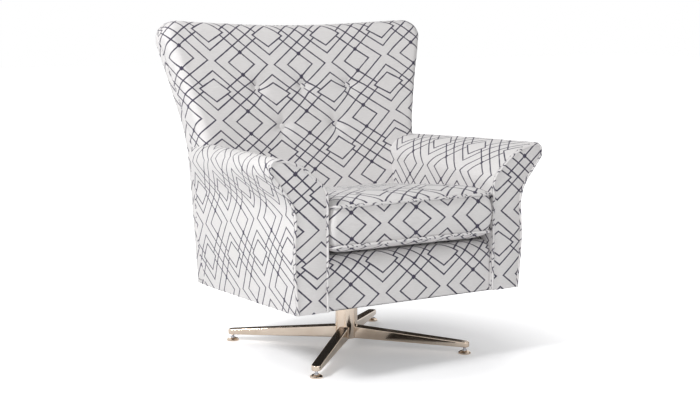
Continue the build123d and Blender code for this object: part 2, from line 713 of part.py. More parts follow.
def named_pieces():
    pieces = {
        "column_tube": column_tube(),
        "column_plug": rod(BORE_R - RUNNING_GAP, COLUMN_FOOT, COLUMN_FOOT + COLUMN_PLUG),
        "upper_bush": upper_bush(),
        "lower_bush": lower_bush(),
        "lower_race": race(BEARING_BOTTOM),
        "bearing_balls": bearing_balls(),
        "ball_cage": ball_cage(),
        "upper_race": race(PLATE_BOTTOM - RACE_THICKNESS),
        "spindle": spindle(),
        "thrust_washer": thrust_washer(),
        "circlip": circlip(),
        "swivel_plate": swivel_plate(),
        "plate_bolts": plate_bolts(),
    }
    inserts = []
    for corner, angle in LEG_ANGLES.items():
        turned = Rot(0, 0, angle)
        at_tip = turned * Pos(LEG_REACH, 0, 0)
        pieces[f"{corner}_leg"] = turned * leg()
        pieces[f"{corner}_foot_pad"] = at_tip * foot_pad()
        pieces[f"{corner}_foot_stem"] = at_tip * foot_stem()
        inserts.append(at_tip * foot_insert().solid())
    pieces["foot_inserts"] = Compound(inserts)

    frame = {
        "plate_rails": plate_rails(),
        "front_rail": front_rail(),
        "rear_rail": rear_rail(),
        "corner_blocks": corner_blocks(),
        "back_top_rail": back_top_rail(),
        "back_lower_rail": back_lower_rail(),
        "seat_springs": seat_springs(),
        "spring_clips": spring_clips(),
        "back_webbing": back_webbing(),
    }
    for name, shape in (("side_rail", side_rail()), ("arm_post", arm_post()), ("arm_rail", arm_rail()),
                        ("back_post", back_post())):
        frame[f"right_{name}"], frame[f"left_{name}"] = both_sides(shape)
    pieces.update(frame)

    frame_solids = list(frame.values())
    buttons = back_buttons()
    platform = seat_platform()
    arm, arm_core = arm_form(), arm_form(FABRIC)
    back, back_core = back_form(), back_form(FABRIC)
    border, border_core = front_border_form(), front_border_form(FABRIC)
    for side, flip in (("right", False), ("left", True)):
        outer = arm.mirror(Plane.YZ) if flip else arm
        core = arm_core.mirror(Plane.YZ) if flip else arm_core
        pieces[f"{side}_arm_cover"] = less(outer, core, *frame_solids)
        pieces[f"{side}_arm_padding"] = less(core, *frame_solids)
    pieces["inside_back_cover"] = less(back, back_core, buttons, *frame_solids)
    pieces["back_padding"] = less(back_core, buttons, *frame_solids)
    pieces["back_buttons"] = buttons
    pieces["outside_back_cover"] = outside_back_cover()
    pieces["front_border_cover"] = less(border, border_core, *frame_solids)
    pieces["front_border_padding"] = less(border_core, *frame_solids)
    pieces["seat_platform"] = platform
    pieces["dust_cover"] = dust_cover()
    right_cord, left_cord = both_sides(arm_piping())
    pieces["cover_piping"] = Compound([right_cord.solid(), left_cord.solid(), back_piping().solid()])

    cushion_core = cushion_form(FABRIC)
    pieces["cushion_core"] = cushion_core
    cords = cushion_piping()
    pieces["cushion_cover"] = less(cushion_form(), cushion_core, cords)
    pieces["cushion_piping"] = cords
    return pieces


os.makedirs("parts", exist_ok=True)
for name, shape in named_pieces().items():
    export_step(shape, f"parts/{name}.step")
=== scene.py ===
from math import atan2, cos, pi, radians, sin, sqrt, tan

import bpy
import numpy as np
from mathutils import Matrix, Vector


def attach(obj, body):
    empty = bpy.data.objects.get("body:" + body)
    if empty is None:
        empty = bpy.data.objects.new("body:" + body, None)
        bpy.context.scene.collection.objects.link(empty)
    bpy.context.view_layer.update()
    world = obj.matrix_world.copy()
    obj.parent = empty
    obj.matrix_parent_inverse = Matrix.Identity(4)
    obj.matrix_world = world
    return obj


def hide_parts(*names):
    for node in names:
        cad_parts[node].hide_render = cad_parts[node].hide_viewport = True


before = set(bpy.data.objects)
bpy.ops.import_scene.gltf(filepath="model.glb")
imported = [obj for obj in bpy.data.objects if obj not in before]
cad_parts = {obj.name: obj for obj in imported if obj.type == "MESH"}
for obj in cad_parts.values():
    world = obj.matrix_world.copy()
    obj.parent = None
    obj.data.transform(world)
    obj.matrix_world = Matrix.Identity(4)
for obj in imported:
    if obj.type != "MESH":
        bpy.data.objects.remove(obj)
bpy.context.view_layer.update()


# The pedestal: a steel tube with four tapering legs welded to it, ground smooth and chrome plated.
# The plating is bright, and its warm tint is a painted reflection of warm surroundings; it has faint
# polishing marks and duller, browner patches scattered at random.

CORNERS = ("front_left", "front_right", "rear_right", "rear_left")


class Signal:
    """A value, vector or colour inside a finish. Arithmetic on it adds nodes."""

    def __init__(self, finish, socket):
        self.finish = finish
        self.socket = socket

    def beside(self, name):
        """Another output of the same node."""
        return Signal(self.finish, self.socket.node.outputs[name])

    def math(self, operation, *others, clamp=False):
        settings = {"operation": operation, "use_clamp": clamp}
        return self.finish.node("ShaderNodeMath", settings, dict(enumerate((self, *others))))

    def reflected(self, operation, other):
        return self.finish.node("ShaderNodeMath", {"operation": operation}, {0: other, 1: self})

    def __add__(self, other):
        return self.math("ADD", other)

    def __radd__(self, other):
        return self.math("ADD", other)

    def __sub__(self, other):
        return self.math("SUBTRACT", other)

    def __rsub__(self, other):
        return self.reflected("SUBTRACT", other)

    def __mul__(self, other):
        return self.math("MULTIPLY", other)

    def __rmul__(self, other):
        return self.math("MULTIPLY", other)

    def __truediv__(self, other):
        return self.math("DIVIDE", other)

    def __rtruediv__(self, other):
        return self.reflected("DIVIDE", other)


class Finish:
    """A material with one surface shader."""

    def __init__(self, name):
        self.material = bpy.data.materials.new(name)
        self.material.use_nodes = True
        self.tree = self.material.node_tree
        self.shader = self.tree.nodes["Principled BSDF"]

    def node(self, kind, settings, sockets, output=0):
        made = self.tree.nodes.new(kind)
        for name, value in settings.items():
            setattr(made, name, value)
        self.fill(made, sockets)
        return Signal(self, [s for s in made.outputs if s.enabled][output])

    def fill(self, node, sockets):
        live = [s for s in node.inputs if s.enabled]
        for name, value in sockets.items():
            socket = live[name] if isinstance(name, int) else next(s for s in live if s.name == name)
            if isinstance(value, Signal):
                self.tree.links.new(value.socket, socket)
            else:
                socket.default_value = value

    def surface(self, sockets):
        self.fill(self.shader, sockets)
        return self

    def place(self):
        return self.node("ShaderNodeTexCoord", {}, {}, output=3)

    def noise(self, where, scale, detail=3.0, roughness=0.55):
        return self.node("ShaderNodeTexNoise", {},
                         {"Vector": where, "Scale": scale, "Detail": detail, "Roughness": roughness})

    def stretched(self, where, scale):
        return self.node("ShaderNodeMapping", {}, {"Vector": where, "Scale": scale})

    def blend(self, share, colour_a, colour_b):
        return self.node("ShaderNodeMix", {"data_type": "RGBA"},
                         {"Factor": share, "A": colour_a, "B": colour_b})

    def ramp(self, value, low, high):
        return self.node("ShaderNodeMapRange", {},
                         {"Value": value, "From Min": 0.3, "From Max": 0.7, "To Min": low, "To Max": high})

    def bump(self, height, strength, distance):
        return self.node("ShaderNodeBump", {}, {"Height": height, "Strength": strength, "Distance": distance})


def dress(finish, *nodes):
    for name in nodes:
        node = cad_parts[name]
        if not node.material_slots:
            node.data.materials.append(finish.material)
        for held in node.material_slots:
            held.material = finish.material


def metal(name, bright, dull, roughness, scale):
    """Metal with dull patches of one scale, and polishing marks thirty times finer."""
    finish = Finish(name)
    patches = finish.noise(finish.place(), scale)
    marks = finish.noise(finish.place(), scale * 30, detail=2.0)
    return finish.surface({
        "Base Color": finish.blend(finish.ramp(patches, 0.0, 1.0), bright, dull),
        "Metallic": 1.0,
        "Roughness": finish.ramp(patches, *roughness) + finish.ramp(marks, 0.0, 0.02),
        "Normal": finish.bump(marks, strength=0.03, distance=0.0004),
    })


# Painted reflection: the warm tint of both colours stands in for warm surroundings reflected in the chrome.
chrome = metal("chrome_plate", bright=(0.83, 0.72, 0.61, 1), dull=(0.64, 0.52, 0.41, 1),
               roughness=(0.05, 0.12), scale=9.0)
dress(chrome, "column_tube", *[f"{c}_leg" for c in CORNERS], *[f"{c}_foot_pad" for c in CORNERS])


# The levelling feet: zinc plated screws that turn in threaded inserts in the leg tips.
# The swivel above them is plain steel on a thrust bearing, greased, in moulded nylon bushes.

zinc = metal("zinc_plate", bright=(0.62, 0.63, 0.66, 1), dull=(0.46, 0.47, 0.50, 1),
             roughness=(0.25, 0.42), scale=40.0)
dress(zinc, "foot_inserts", *[f"{c}_foot_stem" for c in CORNERS])

swivel_steel = metal("swivel_steel", bright=(0.50, 0.50, 0.51, 1), dull=(0.34, 0.34, 0.36, 1),
                     roughness=(0.22, 0.38), scale=25.0)
dress(swivel_steel, "spindle", "lower_race", "upper_race", "bearing_balls", "thrust_washer", "circlip",
      "swivel_plate", "plate_bolts")

nylon = Finish("moulded_nylon")
mottle = nylon.noise(nylon.place(), 60.0)
nylon.surface({
    "Base Color": nylon.blend(mottle, (0.78, 0.76, 0.69, 1), (0.66, 0.63, 0.55, 1)),
    "Roughness": nylon.ramp(mottle, 0.38, 0.55),
    "Normal": nylon.bump(mottle, strength=0.08, distance=0.0005),
})
dress(nylon, "upper_bush", "lower_bush", "ball_cage", "column_plug")


# The frame: planed beech rails and posts, glued and dowelled, with corner blocks under the seat.
# The timber is left bare inside the upholstery, with fine short grain and a few darker streaks.

beech = Finish("planed_beech")
grain = beech.noise(beech.stretched(beech.place(), (6.0, 6.0, 40.0)), 3.0, detail=6.0)
flecks = beech.noise(beech.stretched(beech.place(), (120.0, 120.0, 500.0)), 1.0, detail=2.0)
beech.surface({
    "Base Color": beech.blend(beech.ramp(grain, 0.0, 1.0), (0.60, 0.40, 0.23, 1), (0.44, 0.27, 0.14, 1)),
    "Roughness": beech.ramp(flecks, 0.5, 0.7),
    "Normal": beech.bump(grain + flecks, strength=0.15, distance=0.0006),
})
dress(beech, "plate_rails", "front_rail", "rear_rail", "corner_blocks", "back_top_rail", "back_lower_rail")
for side in ("left", "right"):
    dress(beech, *[f"{side}_{piece}" for piece in ("side_rail", "arm_post", "arm_rail", "back_post")])


# The suspension: zigzag springs of tempered wire clipped to the rails, and woven elastic straps on the back.
# The straps have a ribbed weave and a brown that varies with wear.

spring_wire = metal("spring_wire", bright=(0.30, 0.30, 0.31, 1), dull=(0.16, 0.16, 0.17, 1),
                    roughness=(0.35, 0.5), scale=30.0)
dress(spring_wire, "seat_springs", "spring_clips")

straps = Finish("woven_straps")
ribs = straps.node("ShaderNodeTexWave", {"bands_direction": "X"},
                   {"Vector": straps.place(), "Scale": 160.0, "Distortion": 1.0})
wear = straps.noise(straps.place(), 25.0)
straps.surface({
    "Base Color": straps.blend(ribs * 0.5 + wear * 0.5, (0.26, 0.19, 0.12, 1), (0.14, 0.10, 0.06, 1)),
    "Roughness": 0.85,
    "Normal": straps.bump(ribs, strength=0.4, distance=0.0008),
})
dress(straps, "back_webbing")


# The cover: pale woven cloth with a thin dark blue trellis of nested diamonds, a repeat a hand's span wide.
# Dark threads are woven in, so the lines have a slightly stepped edge. Every panel is cut from it.

REPEAT = (0.1975, 0.182)         # metres across and up
LARGE_DIAMOND = (0.94, 0.83)     # half widths and half heights, in repeats
MIDDLE_DIAMOND = (0.714, 0.63)
SMALL_DIAMOND = (0.25, 0.19)
KNOT = (0.5, 0.189)              # place in the repeat
KNOT_SIZE = 0.0052
LINE_HALF = 0.0021
LINE_EDGE = 0.0007
THREAD = 0.0013
THREAD_WOBBLE = 0.0016
GROUND_DARK = (0.65, 0.63, 0.628, 1)
GROUND_LIGHT = (0.815, 0.80, 0.795, 1)
GROUND_PATCH = (0.70, 0.69, 0.68, 1)
INK_DARK = (0.036, 0.032, 0.055, 1)
INK_LIGHT = (0.082, 0.075, 0.112, 1)


def steepness(size):
    """How much a diamond's measure grows over a metre of cloth."""
    return sqrt((1 / (size[0] * REPEAT[0])) ** 2 + (1 / (size[1] * REPEAT[1])) ** 2)


def diamond_lines(p, q, size):
    """Distance on the cloth to the nearest line of the diamonds of one size."""
    a, b = size
    own = (p / a + q / b - 1).math("ABSOLUTE")
    beside = ((1 - p) / a + q / b - 1).math("ABSOLUTE")
    above = (p / a + (1 - q) / b - 1).math("ABSOLUTE")
    return own.math("MINIMUM", beside).math("MINIMUM", above) / steepness(size)


def trellis_cloth():
    finish = Finish("trellis_cloth")
    flat = finish.node("ShaderNodeUVMap", {"uv_map": "cloth"}, {})
    across = finish.node("ShaderNodeSeparateXYZ", {}, {"Vector": flat})
    up = across.beside("Y")
    threads = finish.noise(finish.stretched(flat, (1 / THREAD, 1 / THREAD, 1)), 1.0, detail=1.0)
    wobble = (threads - 0.5) * THREAD_WOBBLE
    p = ((across + wobble) / REPEAT[0]).math("PINGPONG", 0.5)
    q = ((up + wobble) / REPEAT[1]).math("PINGPONG", 0.5)
    small = p / SMALL_DIAMOND[0] + (0.5 - q) / SMALL_DIAMOND[1] - 1
    hidden = small.math("LESS_THAN", 0.0)
    distance = diamond_lines(p, q, MIDDLE_DIAMOND) + hidden
    distance = distance.math("MINIMUM", diamond_lines(p, q, LARGE_DIAMOND))
    distance = distance.math("MINIMUM", small.math("ABSOLUTE") / steepness(SMALL_DIAMOND))
    knot = ((p - KNOT[0]) * REPEAT[0]).math("ABSOLUTE") + ((q - KNOT[1]) * REPEAT[1]).math("ABSOLUTE")
    distance = distance.math("MINIMUM", (knot - KNOT_SIZE).math("MAXIMUM", 0.0))
    swell = finish.noise(flat, 45.0, detail=1.0) * 0.7 + 0.65
    line = ((swell * LINE_HALF - distance) / LINE_EDGE + 0.5).math("ADD", 0.0, clamp=True)
    slubs = finish.noise(finish.stretched(flat, (60.0, 420.0, 1)), 1.0, detail=3.0)
    tone = finish.noise(flat, 7.0, detail=2.0)
    ground = finish.blend(slubs, GROUND_DARK, GROUND_LIGHT)
    ground = finish.blend(finish.ramp(tone, 0.0, 0.25), ground, GROUND_PATCH)
    ink = finish.blend(threads, INK_DARK, INK_LIGHT)
    warp = (across * (2 * pi / THREAD)).math("SINE")
    weft = (up * (2 * pi / THREAD)).math("SINE")
    weave = warp * weft * 0.35 + slubs * 0.8 + threads * 0.5 + line * 0.5
    return finish.surface({
        "Base Color": finish.blend(line, ground, ink),
        "Roughness": 0.92 - line * 0.1,
        "Specular IOR Level": 0.25,
        "Sheen Weight": 0.12,
        "Sheen Roughness": 0.5,
        "Normal": finish.bump(weave, strength=0.22, distance=0.0005),
    })


cloth = trellis_cloth()


# The seat deck and front border: a flat panel over the springs, and a padded strip over the front rail.
# The border's top edge is rolled over a fibre wad, so a shadow gap shows under the loose cushion.

MM = 0.001
SEAT_BOTTOM = 197.0
SEAT_DECK = 336.0
BORDER_FRONT = -331.0
BORDER_ROUND = 38.0
BORDER_BACK = -288.0
BORDER_HALF = 261.7
BORDER_PUFF = 4.0
PATTERN_X = 103.7
BORDER_PATTERN_Z = 29.7
DECK_BACK = 131.0
DECK_SAG = 3.0
COVER_THICKNESS = 4.0
SLACK = 0.5
SLACK_LENGTH = 30.0


def rounded_path(corners, radii, arc_points=14, closed=False):
    """Points along straight runs whose corners are rounded, the same number on every round."""
    corners = np.array(corners, float)
    count = len(corners)
    made = []
    for i in range(count):
        here = corners[i]
        if radii[i] == 0:
            made.append(here[None])
            continue
        back = corners[i - 1] - here
        ahead = corners[(i + 1) % count] - here
        back, ahead = back / np.linalg.norm(back), ahead / np.linalg.norm(ahead)
        half = np.arccos(np.clip(back @ ahead, -1, 1)) / 2
        middle = back + ahead
        centre = here + middle / np.linalg.norm(middle) * radii[i] / sin(half)
        start = here + back * radii[i] / tan(half) - centre
        end = here + ahead * radii[i] / tan(half) - centre
        turn = atan2(start[0] * end[1] - start[1] * end[0], start @ end)
        angles = np.linspace(0, turn, arc_points)
        c, s = np.cos(angles), np.sin(angles)
        arc = np.stack([start[0] * c - start[1] * s, start[0] * s + start[1] * c], 1)
        made.append(centre + arc)
    path = np.concatenate(made)
    return np.concatenate([path, path[:1]]) if closed else path


def lengths(path):
    """How far along a path each of its points is."""
    return np.concatenate([[0], np.cumsum(np.linalg.norm(np.diff(path, axis=0), axis=1))])


def along(path, share):
    """Points at a share of the path's length, and how far along they are."""
    run = lengths(path)
    at = share * run[-1]
    return np.stack([np.interp(at, run, axis) for axis in path.T], 1), at


def cloth_panel(name, columns, rows, shape, inside):
    """A grid whose points shape(s, t) places in space and on the flat cloth, both in millimetres."""
    bpy.ops.object.select_all(action="DESELECT")
    bpy.ops.mesh.primitive_grid_add(x_subdivisions=columns, y_subdivisions=rows, size=1)
    panel = bpy.context.object
    panel.name = panel.data.name = name
    mesh = panel.data
    points = np.empty(len(mesh.vertices) * 3, np.float32)
    mesh.vertices.foreach_get("co", points)
    points = points.reshape(-1, 3).astype(float)
    placed, flat = shape(points[:, 0] + 0.5, points[:, 1] + 0.5)
    mesh.vertices.foreach_set("co", (placed * MM).astype(np.float32).ravel())
    corner_points = np.empty(len(mesh.loops), np.int32)
    mesh.loops.foreach_get("vertex_index", corner_points)
    mesh.uv_layers[0].name = "cloth"
    mesh.uv_layers[0].data.foreach_set("uv", (flat * MM)[corner_points].astype(np.float32).ravel())
    mesh.update()
    outward = sum((f.center - Vector(inside) * MM).dot(f.normal) * f.area for f in mesh.polygons)
    if outward < 0:
        mesh.flip_normals()
    return panel


def sewn(name, panels, nearness=0.0002):
    """Joins panels along their edges into one piece."""
    bpy.ops.object.select_all(action="DESELECT")
    for panel in panels:
        panel.select_set(True)
    bpy.context.view_layer.objects.active = panels[0]
    if len(panels) > 1:
        bpy.ops.object.join()
    piece = bpy.context.object
    piece.name = piece.data.name = name
    bpy.ops.object.mode_set(mode="EDIT")
    bpy.ops.mesh.select_all(action="SELECT")
    bpy.ops.mesh.remove_doubles(threshold=nearness)
    bpy.ops.object.mode_set(mode="OBJECT")
    bpy.ops.object.shade_smooth_by_angle(angle=radians(50))
    return piece


def eased(piece):
    """Lets the cloth lie a little unevenly over its filling, in two crossed waves that bend each other."""
    mesh = piece.data
    points, normals = np.empty((2, len(mesh.vertices) * 3), np.float32)
    mesh.vertices.foreach_get("co", points)
    mesh.vertices.foreach_get("normal", normals)
    x, y, z = points.reshape(-1, 3).T / (SLACK_LENGTH * MM)
    across = np.sin(1.3 * x + 1.6 * np.sin(0.9 * z + 0.7 * y))
    up = np.sin(1.1 * z - 0.8 * y + 1.4 * np.sin(0.8 * x))
    points += normals * np.repeat(SLACK * MM * (across * up), 3)
    mesh.vertices.foreach_set("co", points)
    mesh.update()
    return piece


def lined(piece):
    """Gives a cover its thickness, inwards."""
    eased(piece)
    bpy.ops.object.select_all(action="DESELECT")
    piece.select_set(True)
    bpy.context.view_layer.objects.active = piece
    wall = piece.modifiers.new("lining", "SOLIDIFY")
    wall.thickness = COVER_THICKNESS * MM
    wall.offset = -1
    bpy.ops.object.modifier_apply(modifier=wall.name)
    return piece


def cover(name, columns, rows, shape, inside):
    """A cover of one panel."""
    return lined(sewn(name, [cloth_panel(name, columns, rows, shape, inside)]))


def upholster(piece, body, *nodes):
    """Dresses a piece in the cloth, hangs it on the body it rides on, and hides the nodes it stands for."""
    piece.data.materials.clear()
    piece.data.materials.append(cloth.material)
    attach(piece, body)
    if nodes:
        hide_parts(*nodes)
    return piece


def stacked(*axes):
    """Points from their coordinates, any of which may be one number."""
    return np.stack(np.broadcast_arrays(*axes), 1).astype(float)


def front_border(s, t):
    profile = rounded_path([(BORDER_FRONT, SEAT_BOTTOM), (BORDER_FRONT, SEAT_DECK), (BORDER_BACK, SEAT_DECK)],
                           [0, BORDER_ROUND, 0])
    line, run = along(profile, t)
    x = (2 * s - 1) * BORDER_HALF
    puff = BORDER_PUFF * np.sin(pi * t) ** 0.7 * (1 - np.abs(2 * s - 1) ** 10)
    return stacked(x, line[:, 0] - puff, line[:, 1]), stacked(x - PATTERN_X, run - BORDER_PATTERN_Z)


def seat_deck(s, t):
    x = (2 * s - 1) * BORDER_HALF
    y = BORDER_BACK + t * (DECK_BACK - BORDER_BACK)
    sag = DECK_SAG * np.sin(pi * s) * np.sin(pi * t)
    return stacked(x, y, SEAT_DECK - sag), stacked(x, y)


border = cover("front_border", 90, 34, front_border, inside=(0, -250, 280))
upholster(border, "seat", "front_border_cover", "front_border_padding")
deck = cover("seat_deck", 40, 34, seat_deck, inside=(0, -100, 250))
upholster(deck, "seat", "seat_platform")


# The arms: padded over a shaped post and a rail, upright inside and curling outwards at the top.
# One panel wraps each arm from its inner foot to its outer foot, and a facing closes the front.

ARM_FRONT = -338.0
ARM_REAR = 270.0
ARM_INNER_FOOT = (262, SEAT_BOTTOM)
ARM_OUTER_SIDE = ((360, 469), (368, 330), (356, SEAT_BOTTOM))
ARM_CORNERS = (ARM_INNER_FOOT, (262, 515), (342, 585), (434, 607), (434, 563), *ARM_OUTER_SIDE)
ARM_ROUNDS = (0, 55, 130, 22, 22, 110, 600, 0)
REAR_CORNERS = (ARM_INNER_FOOT, (262, 560), (300, 582), (372, 596), (372, 536), *ARM_OUTER_SIDE)
REAR_ROUNDS = (0, 36, 110, 40, 100, 110, 600, 0)
OUTLINE_STEP = 0.002
CREST_SHARE = 0.535              # of the outline, from the inner foot to the crest
ARM_CORE = (320, -80, 400)
ARM_JOINT = (193.0, 10.0)        # depth at the seat's underside, and lean in degrees
ARM_PUFF = 3.0
FACING_PUFF = 5.0
FACING_FULL = 60.0               # width from which a facing puffs in full
REAR_DROP = 14.0
DROP_FROM = 300.0
LEFT_PATTERN = (-137.0, 226.0)        # depth, and run up from the outer foot, where the pattern starts
LEFT_PATTERN_ALONG = (1.218, 0.178)   # cloth across and up per millimetre of depth
LEFT_PATTERN_UP = (-0.393, 0.989)     # cloth across and up per millimetre of run
RIGHT_PATTERN = (-21.0, 320.0)        # depth, and run up from the inner foot
RIGHT_PATTERN_ALONG = 1.257
FACING_PATTERN = {-1: (-281.0, 413.0), 1: (279.0, 418.0)}
FACING_SLANT = {-1: -0.13, 1: 0.057}
arm_profile = rounded_path(ARM_CORNERS, ARM_ROUNDS)
rear_profile = rounded_path(REAR_CORNERS, REAR_ROUNDS)


def joint_y(z):
    """The sloping plane where the arms meet the back."""
    return ARM_JOINT[0] + (z - SEAT_BOTTOM) * tan(radians(ARM_JOINT[1]))


def hung(points):
    """Lets the foot of the covers hang lower towards the rear."""
    low = np.clip((DROP_FROM - points[:, 2]) / (DROP_FROM - SEAT_BOTTOM), 0, 1)
    behind = np.clip((points[:, 1] - ARM_FRONT) / (ARM_REAR - ARM_FRONT), 0, 1)
    return points - stacked(0, 0, REAR_DROP * low * behind)


def at_rear(s):
    """The rear outline's point and run that belong to a share of the facing's outline."""
    run = lengths(arm_profile)
    place = [np.interp(s * run[-1], run, axis) for axis in (*rear_profile.T, lengths(rear_profile))]
    return np.stack(place[:2], 1), place[2]


def arm_line(s, y):
    """The arm's outline at one depth: its curl dies away towards the back."""
    share = (y - ARM_FRONT) / (ARM_REAR - ARM_FRONT)
    front, front_run = along(arm_profile, s)
    rear, rear_run = at_rear(s)
    return front + (rear - front) * share[:, None], front_run + (rear_run - front_run) * share


def unit(rows):
    return rows / np.linalg.norm(rows, axis=1)[:, None]


def arm_wrap(flip):
    """The long panel over the arm. The cloth is stretched along it, and on the left it also lies askew."""
    def shape(s, t):
        y = ARM_FRONT + t * (joint_y(at_rear(s)[0][:, 1]) - ARM_FRONT)
        line, run = arm_line(s, y)
        ahead, _ = arm_line(np.clip(s + OUTLINE_STEP, 0, 1), y)
        behind, _ = arm_line(np.clip(s - OUTLINE_STEP, 0, 1), y)
        tangent = unit(ahead - behind)
        puff = ARM_PUFF * np.clip(np.sin(pi * t), 0, 1) ** 0.6 * np.clip(np.sin(pi * s), 0, 1) ** 0.5
        x = line[:, 0] - tangent[:, 1] * puff
        z = line[:, 1] + tangent[:, 0] * puff
        if flip < 0:
            depth = y - LEFT_PATTERN[0]
            rise = arm_line(np.ones_like(s), y)[1] - run - LEFT_PATTERN[1]
            flat = stacked(*[depth * a + rise * b for a, b in zip(LEFT_PATTERN_ALONG, LEFT_PATTERN_UP)])
        else:
            flat = stacked((y - RIGHT_PATTERN[0]) * RIGHT_PATTERN_ALONG, run - RIGHT_PATTERN[1])
        return hung(stacked(flip * x, y, z)), flat
    return shape


def arm_end(flip, front):
    """The facing, or the rear end against the back: from the inner edge to the outer edge."""
    middle_x, middle_z = FACING_PATTERN[flip]
    slant = FACING_SLANT[flip]

    def shape(s, t):
        inside, outside = CREST_SHARE * s, 1 - (1 - CREST_SHARE) * s
        depth = np.full_like(s, ARM_FRONT)
        depth_in = depth if front else joint_y(at_rear(inside)[0][:, 1])
        depth_out = depth if front else joint_y(at_rear(outside)[0][:, 1])
        inner, _ = arm_line(inside, depth_in)
        outer, _ = arm_line(outside, depth_out)
        line = inner + (outer - inner) * t[:, None]
        width = np.linalg.norm(outer - inner, axis=1)
        puff = FACING_PUFF * np.clip(4 * t * (1 - t), 0, 1) ** 0.6 * np.clip(width / FACING_FULL, 0, 1)
        y = ARM_FRONT - puff if front else depth_in + (depth_out - depth_in) * t
        x, z = flip * line[:, 0], line[:, 1]
        return hung(stacked(x, y, z)), stacked(x - middle_x + slant * (z - middle_z), z - middle_z)
    return shape


def arm_foot(flip):
    """The underside of the arm."""
    def shape(s, t):
        x = ARM_CORNERS[0][0] + s * (ARM_CORNERS[-1][0] - ARM_CORNERS[0][0])
        y = ARM_FRONT + t * (joint_y(SEAT_BOTTOM) - ARM_FRONT)
        return hung(stacked(flip * x, y, SEAT_BOTTOM)), stacked(x, y)
    return shape


for side, flip in (("left", -1), ("right", 1)):
    core = (flip * ARM_CORE[0], *ARM_CORE[1:])
    panels = [
        cloth_panel("wrap", 150, 90, arm_wrap(flip), core),
        cloth_panel("facing", 80, 16, arm_end(flip, True), core),
        cloth_panel("rear", 40, 4, arm_end(flip, False), core),
        cloth_panel("foot", 4, 40, arm_foot(flip), core),
    ]
    arm = upholster(eased(sewn(f"{side}_arm", panels)), "seat", f"{side}_arm_cover", f"{side}_arm_padding")


# The back: a hollowed, buttoned inside panel that rolls over the sides and the top to a piped seam.
# Behind the seam a border strip leads to the outside panel, which is tacked on last round its edge.

BACK_FOOT = (253.01, 197.0)      # depth and height
BACK_LEAN = radians(7.0)
INSIDE_FOOT = (159.0, 469.0)     # depth and height
INSIDE_LEAN = radians(16.0)
HOLLOW = 3614.0                  # radius of the hollow across the back
FOOT_HALF = 350
WAIST = (355, 406)               # half width and height where the flare begins
EAR = (449, 743)                 # half width and height of the corner before it is rounded
DIP = 721
EAR_ROUND = 52.0
BACK_CORNERS = ((-FOOT_HALF, 0), (-WAIST[0], WAIST[1]), (-EAR[0], EAR[1]), (0, DIP),
                EAR, WAIST, (FOOT_HALF, 0))
BACK_ROUNDS = (0, 600, EAR_ROUND, 4000, EAR_ROUND, 600, 0)
FLARE = 0.2666
FLARE_BEND = 70
TOP_SLOPE = 0.049
TOP_BEND = 98
EDGE_ROLL = 28.0
INSIDE_BOTTOM = 117.0
TUFT_DEPTH = 12.0
TUFT_WIDTH = 24.0
TUFT_PULL = 7.0
PULL_REACH = 42.0
PULL_CORE = 4.0
FOLDS = 6
FOLD_SHARE = 0.16
FOLD_RADIUS = 30.0
FOLD_WIDTH = 22.0
UPPER_BUTTONS = (-155.0, 0.0, 155.0)
UPPER_HEIGHT = 285.0
LOWER_BUTTONS = (-90.0, 90.0)
LOWER_HEIGHT = 166.0
INSIDE_PATTERN = (-103.0, 112.0)
INSIDE_STRETCH = 1.039
BOW = 20.0
BOW_MIDDLE = -30.0
BOW_HALF = 300.0
BOW_LOWEST = -8.0
OUTSIDE_PATTERN_X = -99.0
OUTSIDE_LIFT = 1.5
OUTSIDE_INSET = 4.0
BACK_PUFF = 4.0
STRIP_PUFF = 1.5
STRIP_MIDDLE = 200.0             # within this half width the puff fades to none
FOOT_BLEND = 90.0                # height over which the foot is brought level


def on_back(u, v, w):
    """A point by its place on the outside back's plane and its distance in front of it."""
    y = BACK_FOOT[0] + v * sin(BACK_LEAN) - w * cos(BACK_LEAN)
    z = BACK_FOOT[1] + v * cos(BACK_LEAN) + w * sin(BACK_LEAN)
    return stacked(u, y, z)


def back_half(v):
    """Half width of the back, flaring above the arms."""
    over = v - WAIST[1]
    flare = FLARE * (over + np.sqrt(over ** 2 + FLARE_BEND ** 2)) / 2
    return FOOT_HALF + v * (WAIST[0] - FOOT_HALF) / WAIST[1] + flare


def back_top(u):
    """Height of the back's top edge, dipping in the middle."""
    return DIP + TOP_SLOPE * np.sqrt(u ** 2 + TOP_BEND ** 2)


def inside_depth(u, v):
    """Distance from the outside back's plane to the hollow inside back."""
    tilt = INSIDE_LEAN - BACK_LEAN
    ahead, higher = BACK_FOOT[0] - INSIDE_FOOT[0], INSIDE_FOOT[1] - BACK_FOOT[1]
    reach = ahead * cos(INSIDE_LEAN) + higher * sin(INSIDE_LEAN)
    hollow = HOLLOW - np.sqrt(HOLLOW ** 2 - np.asarray(u) ** 2)
    return (reach + hollow - v * sin(tilt)) / cos(tilt)


def seam_depth(v):
    """Distance from the outside back's plane to the seam, which continues the arms' rear ends."""
    tilt = radians(ARM_JOINT[1]) - BACK_LEAN
    return ((BACK_FOOT[0] - ARM_JOINT[0]) * cos(radians(ARM_JOINT[1])) - v * sin(tilt)) / cos(tilt)


def button_places():
    """Each button's place on the outside back's plane."""
    places = []
    for columns, rise in ((UPPER_BUTTONS, UPPER_HEIGHT), (LOWER_BUTTONS, LOWER_HEIGHT)):
        y = INSIDE_FOOT[0] + rise * sin(INSIDE_LEAN) - BACK_FOOT[0]
        z = INSIDE_FOOT[1] + rise * cos(INSIDE_LEAN) - BACK_FOOT[1]
        places += [(x, y * sin(BACK_LEAN) + z * cos(BACK_LEAN)) for x in columns]
    return places


def round_corner(x, y, size_x, size_y):
    """Turns the square corner beyond two edges into a quarter round."""
    share_x, share_y = np.clip(x / size_x, 0, 1), np.clip(y / size_y, 0, 1)
    return x * np.sqrt(1 - share_y ** 2 / 2), y * np.sqrt(1 - share_x ** 2 / 2)


